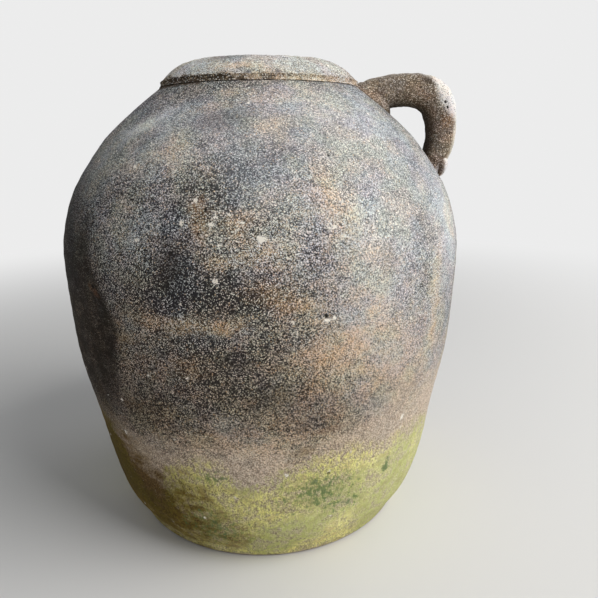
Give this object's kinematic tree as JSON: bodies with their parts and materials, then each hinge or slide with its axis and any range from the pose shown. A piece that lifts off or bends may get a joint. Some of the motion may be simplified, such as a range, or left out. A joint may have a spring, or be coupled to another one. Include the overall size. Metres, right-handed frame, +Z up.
{
  "type": "olive jar",
  "caption": "Round-shouldered earthenware storage jar with a rolled rim, a narrow mouth and one loop handle on the shoulder.",
  "frame": {"origin": "the middle of the jar's flat foot, on the surface that it stands on", "axes": "+Z up through the mouth; the handle stands towards +X; the picture looks along +Y"},
  "size_m": [0.3468, 0.3468, 0.396],
  "materials": {
    "body_clay": "matt, weathered, gritty",
    "mossy_clay": "matt, mossy",
    "rim_clay": "matt, dusty",
    "inner_clay": "matt, bare",
    "handle_clay": "matt, dark, gritty"
  },
  "bodies": {
    "root": {"floor_slab": "mossy_clay", "lower_wall": "body_clay", "upper_wall": "body_clay", "rim_collar": "rim_clay", "floor_corner_coil": "inner_clay", "handle_strap": "handle_clay", "handle_upper_wad": "handle_clay", "handle_lower_wad": "handle_clay"}
  },
  "joints": []
}
